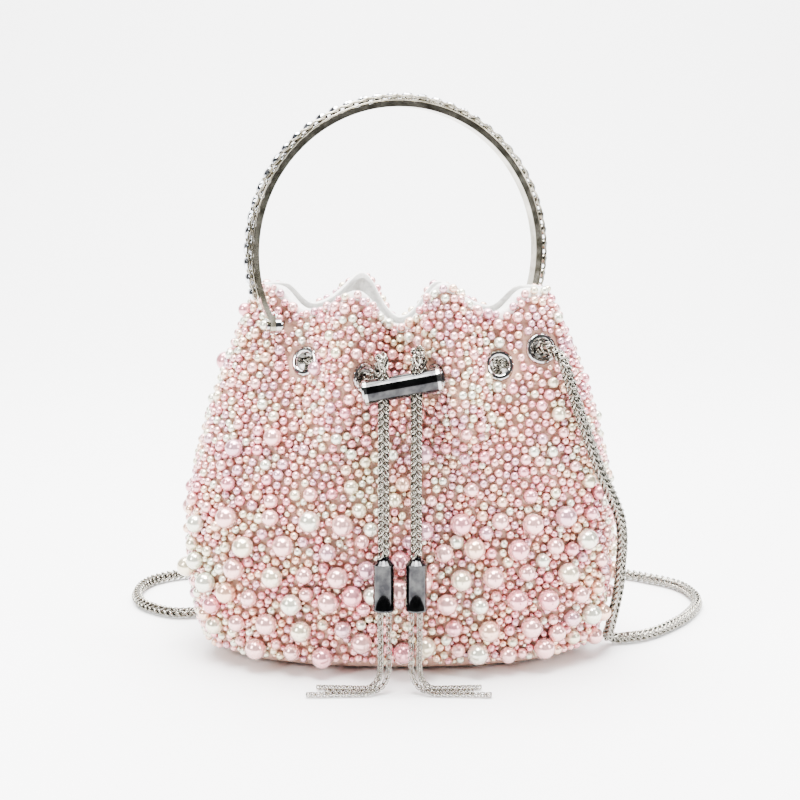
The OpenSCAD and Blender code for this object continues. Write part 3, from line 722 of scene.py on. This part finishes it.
for word, way in (("front", np.ones(3)), ("back", half_turn)):
    outside = along_rim([(-0.5, -HEM_DEPTH), (-0.5, -2), (-0.5, 0.1), (-0.2, 0.6), (0.9, 1.0), (2.2, 1.0),
                         (3.3, 0.6), (3.6, 0.1), (3.6, -2), (3.6, -HEM_DEPTH)], way)
    inside = along_rim([(-0.1, -HEM_DEPTH), (-0.1, -2), (-0.1, 0.0), (0.1, 0.3), (0.9, 0.6), (2.2, 0.6),
                        (3.0, 0.3), (3.2, 0.0), (3.2, -2), (3.2, -HEM_DEPTH)], way)
    hem = closed_sheet(f"{word}_hem", outside, inside, lining_satin)
    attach(hem, "bag")
    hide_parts("mouth_binding")


# ---------------------------------------------------------------- Side piping
# A thin white cord in a satin sleeve, sewn into both side seams.

PIPING_R = 1.2


def tube_along(name, line, radius, material, sides=10):
    along, across, out = carried_frames(line)
    b = np.linspace(0, 2 * math.pi, sides, endpoint=False)
    ring = np.cos(b)[None, :, None] * across[:, None] + np.sin(b)[None, :, None] * out[:, None]
    verts = np.vstack([(line[:, None] + radius * ring).reshape(-1, 3), line[:1], line[-1:]])
    n = len(line)
    i, j = np.meshgrid(np.arange(n - 1), np.arange(sides), indexing="ij")
    m = (j + 1) % sides
    faces = np.stack([i * sides + j, (i + 1) * sides + j, (i + 1) * sides + m, i * sides + m], axis=-1)
    faces = faces.reshape(-1, 4).tolist()
    faces += [(n * sides, k, (k + 1) % sides) for k in range(sides)]
    faces += [(n * sides + 1, (n - 1) * sides + (k + 1) % sides, (n - 1) * sides + k) for k in range(sides)]
    return mesh_object(name, verts, faces, material)


for word, side in (("right", 1), ("left", -1)):
    z = np.concatenate([[1.3, 2.5, 4.5, 7], np.linspace(9, 174, 60)])
    reach = half_width(z) - tuck(z) + PIPING_R + 0.05
    line = np.stack([side * reach, -side * half_width(z) * skew(z), z], axis=-1)
    piping = tube_along(f"{word}_piping", line * MM, PIPING_R * MM, lining_satin)
    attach(piping, "bag")
    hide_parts(f"side_piping_{word}")


# ---------------------------------------------------------------- Eyelets and washers
# Rolled nickel rings set through cloth and lining, eight for the drawstring and two for
# the strap. Each is clinched over a plain steel washer inside the bag.

def repaint(node, material):
    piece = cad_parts[node]
    piece.data.materials.clear()
    piece.data.materials.append(material)
    return piece


bright_metal = plated_metal("bright_nickel", (0.30, 0.30, 0.30), (0.48, 0.47, 0.46), 0.06, 0.14, 250, 0.02)
hidden_metal = plated_metal("plain_steel", (0.40, 0.40, 0.40), (0.58, 0.58, 0.57), 0.30, 0.45)
repaint("drawstring_eyelets", bright_metal)
repaint("strap_eyelets", bright_metal)
repaint("drawstring_eyelet_washers", hidden_metal)
repaint("strap_eyelet_washers", hidden_metal)


# ---------------------------------------------------------------- Handle anchors and pivot pins
# A plated lug is riveted to the cloth at each side of the mouth, a little turned from the
# bag's own width. A headed pin through each lug carries the hoop.

HINGE_Z = 161
HOOP_YAW = math.radians(16)
hinge_way = np.array([math.cos(HOOP_YAW), math.sin(HOOP_YAW), 0])
swing_way = np.array([-math.sin(HOOP_YAW), math.cos(HOOP_YAW), 0])
repaint("handle_anchors", bright_metal)
repaint("handle_pivot_pins", bright_metal)
repaint("anchor_rivets", hidden_metal)


# ---------------------------------------------------------------- Drawstring loop
# The part of the drawstring inside the bag. It runs from the slider through the front
# inner eyelets, round both ends and out across the back.

LOOP = [(-7.2, -52.1, 145.0), (-7.2, -51.9, 147.0), (-7.8, -48.7, 150.0), (-8.6, -44.7, 148.4),
    (-9.4, -42.1, 143.8), (-11.1, -39.7, 140.0), (-13.9, -36.9, 139.7), (-17.4, -33.4, 139.4),
    (-21.3, -29.5, 139.0), (-30.0, -24.9, 141.0), (-37.0, -7.5, 141.0), (-44.0, -4.6, 141.0),
    (-54.0, -4.2, 141.0), (-63.5, 2.0, 141.0), (-70.5, 6.0, 141.0), (-71.5, 12.0, 141.0),
    (-67.5, 19.0, 141.0), (-56.0, 21.1, 141.0), (-46.0, 18.4, 141.0), (-38.0, 19.3, 141.0),
    (-31.0, 32.9, 141.0), (-22.0, 35.1, 139.3), (-17.6, 38.4, 139.4), (-13.6, 41.4, 139.6),
    (-10.4, 43.9, 139.7), (0.0, 34.2, 139.5), (11.1, 39.7, 140.0), (13.9, 36.9, 139.7),
    (17.4, 33.4, 139.4), (21.3, 29.5, 139.0), (30.0, 24.9, 141.0), (37.0, 7.5, 141.0),
    (44.0, 4.6, 141.0), (54.0, 4.2, 141.0), (63.5, -2.0, 141.0), (70.5, -6.0, 141.0),
    (71.5, -12.0, 141.0), (67.5, -19.0, 141.0), (56.0, -21.1, 141.0), (46.0, -18.4, 141.0),
    (38.0, -19.3, 141.0), (31.0, -32.9, 141.0), (22.0, -35.1, 139.3), (17.6, -38.4, 139.4),
    (13.6, -41.4, 139.6), (10.4, -43.9, 139.7), (9.4, -41.9, 146.8), (8.6, -44.5, 151.4),
    (7.8, -48.5, 153.0), (7.2, -51.7, 150.0), (7.2, -51.9, 148.0)]
loop_route = smooth_route(LOOP, 2 * MM)
loop = wheat_chain("drawstring_loop_links", loop_route, CHAIN_D * MM, shade_darkened_chain_metal)
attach(loop, "bag")
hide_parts("drawstring_loop")


# ---------------------------------------------------------------- Strap stops
# A short steel drum crimped on each end of the strap, inside the bag. It is too large for
# the eyelet's hole, and so holds the chain.

repaint("strap_stops", hidden_metal)


# ---------------------------------------------------------------- Sewn pearls
# Glass and plastic pearls from 10 mm down to seed size, sewn as close as they go. The
# large ones sit low on the bag, and pinks, creams and ivories lie in loose patches.

CHAIN_R = CHAIN_D / 2
SLIDER_TILT = math.radians(10.4)
SLIDER_HALF, SLIDER_TRAVEL, SLIDER_ROOM = 15.5, 55, 6.0
HOOP_RISE, HOOP_R = 32.5, 68.75
HOOP_SWING, HOOP_ROOM = 45, 4.6
PIN_REACH = (65, 61, 58, 55)


def keep_clear_places():
    """Points and radii, in mm, that no bead may come near: chains, hoop and slider in every pose."""
    places = [(strap_route[::2] / MM, CHAIN_R + 0.3), (loop_route / MM, CHAIN_R + 0.4)]
    places += [(tail_routes[s][::2] / MM, CHAIN_R + 0.8) for s in SIDES]
    slides = [tail_point(1 + u * math.cos(SLIDER_TILT), a - u * math.sin(SLIDER_TILT))
              for a in np.arange(0, SLIDER_TRAVEL + 1, 2.5)
              for u in np.arange(-SLIDER_HALF, SLIDER_HALF + 0.5, 2)]
    places.append((np.array(slides), SLIDER_ROOM))
    swings = []
    for side in (-1, 1):
        for swing in np.radians(np.arange(-HOOP_SWING, HOOP_SWING + 1, 9)):
            for h in np.arange(-2, 24, 2.5):
                reach = math.sqrt(HOOP_R ** 2 - (HOOP_RISE - max(h, 4)) ** 2)
                swings.append(side * reach * hinge_way + np.array([0, 0, HINGE_Z])
                              + h * (math.sin(swing) * -swing_way + math.cos(swing) * np.array([0, 0, 1])))
        swings += [side * x * hinge_way + np.array([0, 0, HINGE_Z]) for x in PIN_REACH]
    places.append((np.array(swings), HOOP_ROOM))
    return places


def clear_of(points, radius, places):
    clear = np.ones(len(points), bool)
    for spots, room in places:
        tree = KDTree(len(spots))
        for i, spot in enumerate(spots):
            tree.insert(spot, i)
        tree.balance()
        clear &= np.array([tree.find(p)[2] >= room + radius for p in points])
    return clear


PEARL_ROWS, FIRST_ROW_Z, ROW_GAP = 6, 12, 12.5
PEARL_GAP, PEARL_WOBBLE = 17, 2.4
TAILS_HALF, SEAM_MARGIN = 20, 16


def cad_pearls():
    """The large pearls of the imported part, as (x, z, diameter)."""
    found = []
    for r in range(PEARL_ROWS):
        for i in range(-6, 7):
            up, along = (math.sin(math.radians(137.5 * a + 73.1 * b)) * PEARL_WOBBLE
                         for a, b in ((i, r + 3), (r, i)))
            z = FIRST_ROW_Z + ROW_GAP * r + 0.5 * up
            x = PEARL_GAP * (i + (r % 2) / 2) + along
            if TAILS_HALF < abs(x) < float(half_width(np.asarray(z))) - SEAM_MARGIN:
                found.append((x, z, 8 if (i + 2 * r) % 3 == 0 else 10))
    return found


# Diameter, tries, and the height above which that size gets rare
BEAD_SIZES = [(9.8, 90, 62), (8.6, 90, 78), (6.8, 150, 92), (5.2, 300, 400), (4.0, 16000, 400),
              (3.5, 50000, 400), (2.8, 50000, 400), (2.2, 40000, 400)]
LOWEST_BEAD = 5.5
SEWN_DEPTH = 0.12
BEAD_OVERLAP = 0.97
RARE_CHANCE = 0.05
EYELET_CLEAR = 8.2
CELL = 4.0


def sew_beads(way, seed):
    """Throws beads at one side of the bag, large ones first, and keeps those that fit."""
    rng = np.random.default_rng(seed)
    places = keep_clear_places()
    taken = {}
    kept = []

    def add(centre, r, next_r):
        """Notes a bead in every cell where the centre of a later bead could touch it."""
        low = np.floor((centre - r - next_r) / CELL).astype(int)
        high = np.floor((centre + r + next_r) / CELL).astype(int)
        for i in range(low[0], high[0] + 1):
            for j in range(low[1], high[1] + 1):
                for k in range(low[2], high[2] + 1):
                    taken.setdefault((i, j, k), []).append((*centre, r))

    for x, z, d in cad_pearls():
        add(cloth_point(x, z) + (d / 2 + 0.05) * front_normal(np.asarray(x), np.asarray(z)), d / 2, 5)
    seats = np.array([cloth_point(x, z) for x, z in EYELET_SEATS])
    for d, tries, rare_from in BEAD_SIZES:
        z = rng.uniform(1.5, 184, tries)
        x = rng.uniform(-103, 103, tries)
        t = x / half_width(z)
        top = rim_height(MOUTH_HALF * np.clip(t, -1, 1))
        keep = (np.abs(t) < 0.999) & (z < top - d * 0.1)
        keep &= (z < rare_from) | (rng.uniform(0, 1, tries) < RARE_CHANCE)
        x, z = x[keep], z[keep]
        # More tries on the steep sides, where a step in x covers more cloth
        extra = rng.uniform(0, np.pi / 2, tries // 2)
        side_z = rng.uniform(1.5, 176, tries // 2)
        side_x = np.sign(rng.uniform(-1, 1, tries // 2)) * half_width(side_z) * np.sin(extra)
        keep = (side_z < rare_from) | (rng.uniform(0, 1, tries // 2) < RARE_CHANCE)
        keep &= side_z < rim_height(MOUTH_HALF * side_x / half_width(side_z)) - d * 0.1
        x, z = np.concatenate([x, side_x[keep]]), np.concatenate([z, side_z[keep]])
        spots = cloth_point(x, z) + (d / 2 * (1 - SEWN_DEPTH)) * front_normal(x, z)
        keep = spots[:, 2] > d / 2 + LOWEST_BEAD
        flat = np.linalg.norm(cloth_point(x, z)[:, None] - seats[None], axis=2).min(axis=1)
        keep &= flat > EYELET_CLEAR + d * 0.35
        keep &= np.abs(x) < half_width(z) - 0.2
        spots = spots[keep]
        spots = spots[clear_of(spots * way, d / 2, places)]
        for centre in spots:
            cx, cy, cz = centre
            near = taken.get((math.floor(cx / CELL), math.floor(cy / CELL), math.floor(cz / CELL)), ())
            if all((cx - x) ** 2 + (cy - y) ** 2 + (cz - z) ** 2 >= (BEAD_OVERLAP * (r + d / 2)) ** 2
                   for x, y, z, r in near):
                add(centre, d / 2, d / 2)
                kept.append((*(centre * way), d / 2))
    return np.array(kept)


def unit_ball(level):
    ball = bmesh.new()
    bmesh.ops.create_icosphere(ball, subdivisions=level, radius=1)
    verts = np.array([v.co[:] for v in ball.verts])
    faces = np.array([[v.index for v in f.verts] for f in ball.faces])
    ball.free()
    return verts, faces


balls = {level: unit_ball(level) for level in (2, 3, 4)}
FINE_FROM_R, FINEST_FROM_R = 2.3, 3.9


def bead_cluster(name, beads, material):
    verts, faces, count = [], [], 0
    for x, y, z, r in beads:
        ball_verts, ball_faces = balls[4 if r > FINEST_FROM_R else 3 if r > FINE_FROM_R else 2]
        verts.append(ball_verts * r + (x, y, z))
        faces.append(ball_faces + count)
        count += len(ball_verts)
    return quad_object(name, np.vstack(verts) * MM, np.vstack(faces), material)


def pearl_gloss_and_edge_shade(made, shader, colour, edge):
    """A hard glossy coat over a colour painted darker towards the edge of the bead, as the shade where beads
    meet.
    """
    nodes, links = made.node_tree.nodes, made.node_tree.links
    shader.inputs["Roughness"].default_value = 0.20
    shader.inputs["Specular IOR Level"].default_value = 0.8
    shader.inputs["Coat Weight"].default_value = 1.0
    shader.inputs["Coat Roughness"].default_value = 0.05
    shader.inputs["Metallic"].default_value = 0.65
    facing = nodes.new("ShaderNodeLayerWeight")
    facing.inputs["Blend"].default_value = 0.4
    mix = nodes.new("ShaderNodeMix")
    mix.data_type = "RGBA"
    mix.inputs["B"].default_value = (*edge, 1)
    links.new(facing.outputs["Facing"], mix.inputs["Factor"])
    links.new(colour, mix.inputs["A"])
    links.new(mix.outputs["Result"], shader.inputs["Base Color"])


def pearl_coat(name, deep, pale):
    """One shade of pearl, uneven between a deep and a pale colour."""
    made, shader, tone = toned_material(name, deep, pale, 90, 3, 0.3, 0.7)
    # The edge colour, 0.7 of the deep shade, is painted shade where the beads meet
    pearl_gloss_and_edge_shade(made, shader, tone.outputs["Colour"], [c * 0.7 for c in deep])
    return made


PEARL_SHADES = {
    "blush": ((0.88, 0.42, 0.40), (0.98, 0.60, 0.56)),
    "rose": ((0.78, 0.28, 0.33), (0.92, 0.43, 0.47)),
    "mauve": ((0.64, 0.32, 0.39), (0.80, 0.48, 0.54)),
    "peach": ((0.92, 0.54, 0.38), (0.99, 0.70, 0.53)),
    "cream": ((0.86, 0.74, 0.50), (0.97, 0.88, 0.68)),
    "ivory": ((0.80, 0.80, 0.62), (0.95, 0.94, 0.80)),
}
pearl_coats = {word: pearl_coat(f"{word}_pearl", *pair) for word, pair in PEARL_SHADES.items()}


def shade_of(beads, seed):
    """Picks a shade for each bead: chance, weighted by slow waves over the cloth."""
    rng = np.random.default_rng(seed)
    x, z = beads[:, 0], beads[:, 2]
    warm = 0.5 + 0.5 * np.sin(x / 17 + 1.3 * np.sin(z / 23)) * np.sin(z / 19 + 0.8 * np.cos(x / 29))
    weights = np.stack([0.34 + 0 * x, 0.14 + 0.12 * (1 - warm), 0.10 + 0.10 * (1 - warm), 0.12 + 0 * x,
                        0.04 + 0.26 * warm ** 2, 0.05 + 0.24 * warm ** 2], axis=1)
    weights /= weights.sum(axis=1, keepdims=True)
    pick = rng.uniform(0, 1, len(beads))[:, None]
    return (weights.cumsum(axis=1) < pick).sum(axis=1)


for word, way, seed in (("front", np.ones(3), 11), ("back", half_turn, 12)):
    beads = sew_beads(way, seed)
    shades = shade_of(beads, seed + 20)
    for index, shade in enumerate(PEARL_SHADES):
        for size, chosen in (("beads", beads[:, 3] < FINE_FROM_R), ("pearls", beads[:, 3] >= FINE_FROM_R)):
            cluster = bead_cluster(f"{word}_{shade}_{size}", beads[chosen & (shades == index)],
                                   pearl_coats[shade])
            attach(cluster, "bag")


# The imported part's large pearls are one piece a side, so their shade changes pearl by pearl
MIXED_SHADES = [(0.0, (0.93, 0.52, 0.49)), (0.40, (0.85, 0.36, 0.40)), (0.55, (0.72, 0.41, 0.47)),
                (0.65, (0.96, 0.62, 0.46)), (0.75, (0.92, 0.81, 0.59)), (0.88, (0.88, 0.87, 0.71))]
mixed_pearl = bpy.data.materials.new("mixed_pearl")
mixed_pearl.use_nodes = True
each_pearl = mixed_pearl.node_tree.nodes.new("ShaderNodeNewGeometry")
pick_shade = mixed_pearl.node_tree.nodes.new("ShaderNodeValToRGB")
pick_shade.color_ramp.interpolation = "CONSTANT"
stops = pick_shade.color_ramp.elements
stops.remove(stops[1])
for start, shade in MIXED_SHADES:
    stop = stops.new(start) if start else stops[0]
    stop.color = (*shade, 1)
mixed_pearl.node_tree.links.new(each_pearl.outputs["Random Per Island"], pick_shade.inputs["Fac"])
# (0.55, 0.32, 0.30) is the painted shade at each pearl's edge
pearl_gloss_and_edge_shade(mixed_pearl, mixed_pearl.node_tree.nodes["Principled BSDF"], pick_shade.outputs["Color"],
             (0.55, 0.32, 0.30))
repaint("front_pearls", mixed_pearl)
repaint("back_pearls", mixed_pearl)


# ---------------------------------------------------------------- Slider
# A nickel tube, its colour painted nearly black as a dark reflection, that both tails run down through,
# with a bright cap pressed into each end. It slides down the tails to open the mouth.

repaint("slider_tube", painted_dark_reflection_metal)
repaint("slider_end_caps", bright_metal)


# ---------------------------------------------------------------- Hoop band and settings
# A flat nickel band bent to an open hoop, with a row of round cups along its outer edge.

band_metal = plated_metal("band_nickel", (0.20, 0.18, 0.13), (0.42, 0.39, 0.32), 0.12, 0.24, 180, 0.04)
repaint("handle_band", band_metal)
repaint("handle_settings", band_metal)


# ---------------------------------------------------------------- Hoop stones
# Thirty-eight round brilliants of foiled glass, one in each cup on the hoop's outer edge.

STONE_R = 2.9
HOOP_CENTRE = np.array([0, 0, HINGE_Z + HOOP_RISE])


def brilliant(centre, face_way, radius):
    """A round cut stone: a flat table, two rows of crown facets, a girdle and a point."""
    up = unit(face_way)
    side = unit(np.cross(up, (0.2, 0.9, 0.3)))
    out = np.cross(up, side)
    rows = [(0.55, 0.36, 8, 0.0), (0.82, 0.22, 8, 0.5), (1.0, 0.0, 16, 0.0), (0.5, -0.45, 8, 0.5)]
    verts, starts = [], []
    for r, h, count, shift in rows:
        starts.append(len(verts))
        a = (np.arange(count) + shift) * 2 * math.pi / count
        verts += [centre + radius * (r * (math.cos(t) * side + math.sin(t) * out) + h * up) for t in a]
    verts.append(centre - 0.7 * radius * up)
    table, crown, girdle, lower = starts
    faces = [tuple(table + k for k in range(8))]
    for k in range(8):
        n, g = (k + 1) % 8, girdle + 2 * k
        faces += [(table + k, crown + k, table + n),
                  (crown + k, crown + n, table + n),
                  (crown + k, g, g + 1), (crown + k, g + 1, girdle + (2 * k + 2) % 16),
                  (crown + k, girdle + (2 * k + 2) % 16, crown + n)]
        faces += [(g, lower + k, g + 1), (g + 1, lower + k, girdle + (2 * k + 2) % 16),
                  (lower + k, lower + n, girdle + (2 * k + 2) % 16),
                  (lower + k, len(verts) - 1, lower + n)]
    return verts, faces


def island_centres(obj):
    """The centre of each separate stone of a CAD node, in metres."""
    parts = bmesh.new()
    parts.from_mesh(obj.data)
    parts.verts.ensure_lookup_table()
    seen, centres = set(), []
    for first in parts.verts:
        if first.index in seen:
            continue
        group, queue = [], [first]
        seen.add(first.index)
        while queue:
            vert = queue.pop()
            group.append(obj.matrix_world @ vert.co)
            for edge in vert.link_edges:
                other = edge.other_vert(vert)
                if other.index not in seen:
                    seen.add(other.index)
                    queue.append(other)
        low = np.min(group, axis=0)
        centres.append((low + np.max(group, axis=0)) / 2)
    parts.free()
    return centres


stone_verts, stone_faces = [], []
for centre in island_centres(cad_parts["handle_stones"]):
    radial = centre / MM - HOOP_CENTRE
    made_verts, made_faces = brilliant(centre / MM + 0.2 * unit(radial), radial, STONE_R)
    stone_faces += [tuple(i + len(stone_verts) for i in f) for f in made_faces]
    stone_verts += made_verts
# The foil's colour swings between dark and bright patches: painted glints, standing in for the stones'
# sparkle
glass_with_painted_glints = plated_metal("glass_with_painted_glints", (0.20, 0.21, 0.23), (0.85, 0.86, 0.90), 0.02, 0.06, 350, 0.02)
glass_with_painted_glints.node_tree.nodes["Principled BSDF"].inputs["Coat Weight"].default_value = 1.0
stones = mesh_object("hoop_stones", np.array(stone_verts) * MM, stone_faces, glass_with_painted_glints, smooth=False)
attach(stones, "handle")
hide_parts("handle_stones")


# ---------------------------------------------------------------- Gallery wires
# Fine wire soldered along both edges of the row of cups: a plain one at the foot of the
# cups, and a wavy one over it that rises between them.

GALLERY_EDGE, GALLERY_WIRE_R = 3.0, 0.5
PLAIN_R, WAVY_R = 70.6, 72.4
WAVE_HIGH, WAVES = 0.35, 66.5
sweep = np.radians(np.linspace(-16, 196, 160))
gallery_lines = []
for edge in (-1, 1):
    for reach in (PLAIN_R, WAVY_R):
        wave = reach + (WAVE_HIGH * np.cos(sweep * WAVES) if reach == WAVY_R else 0 * sweep)
        gallery_lines.append(HOOP_CENTRE + (wave * np.cos(sweep))[:, None] * hinge_way
                             + (wave * np.sin(sweep))[:, None] * np.array([0, 0, 1.0])
                             + edge * GALLERY_EDGE * swing_way)
for k, line in enumerate(gallery_lines):
    wire = tube_along(f"gallery_wire_{k}", line * MM, GALLERY_WIRE_R * MM, band_metal, sides=8)
    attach(wire, "handle")
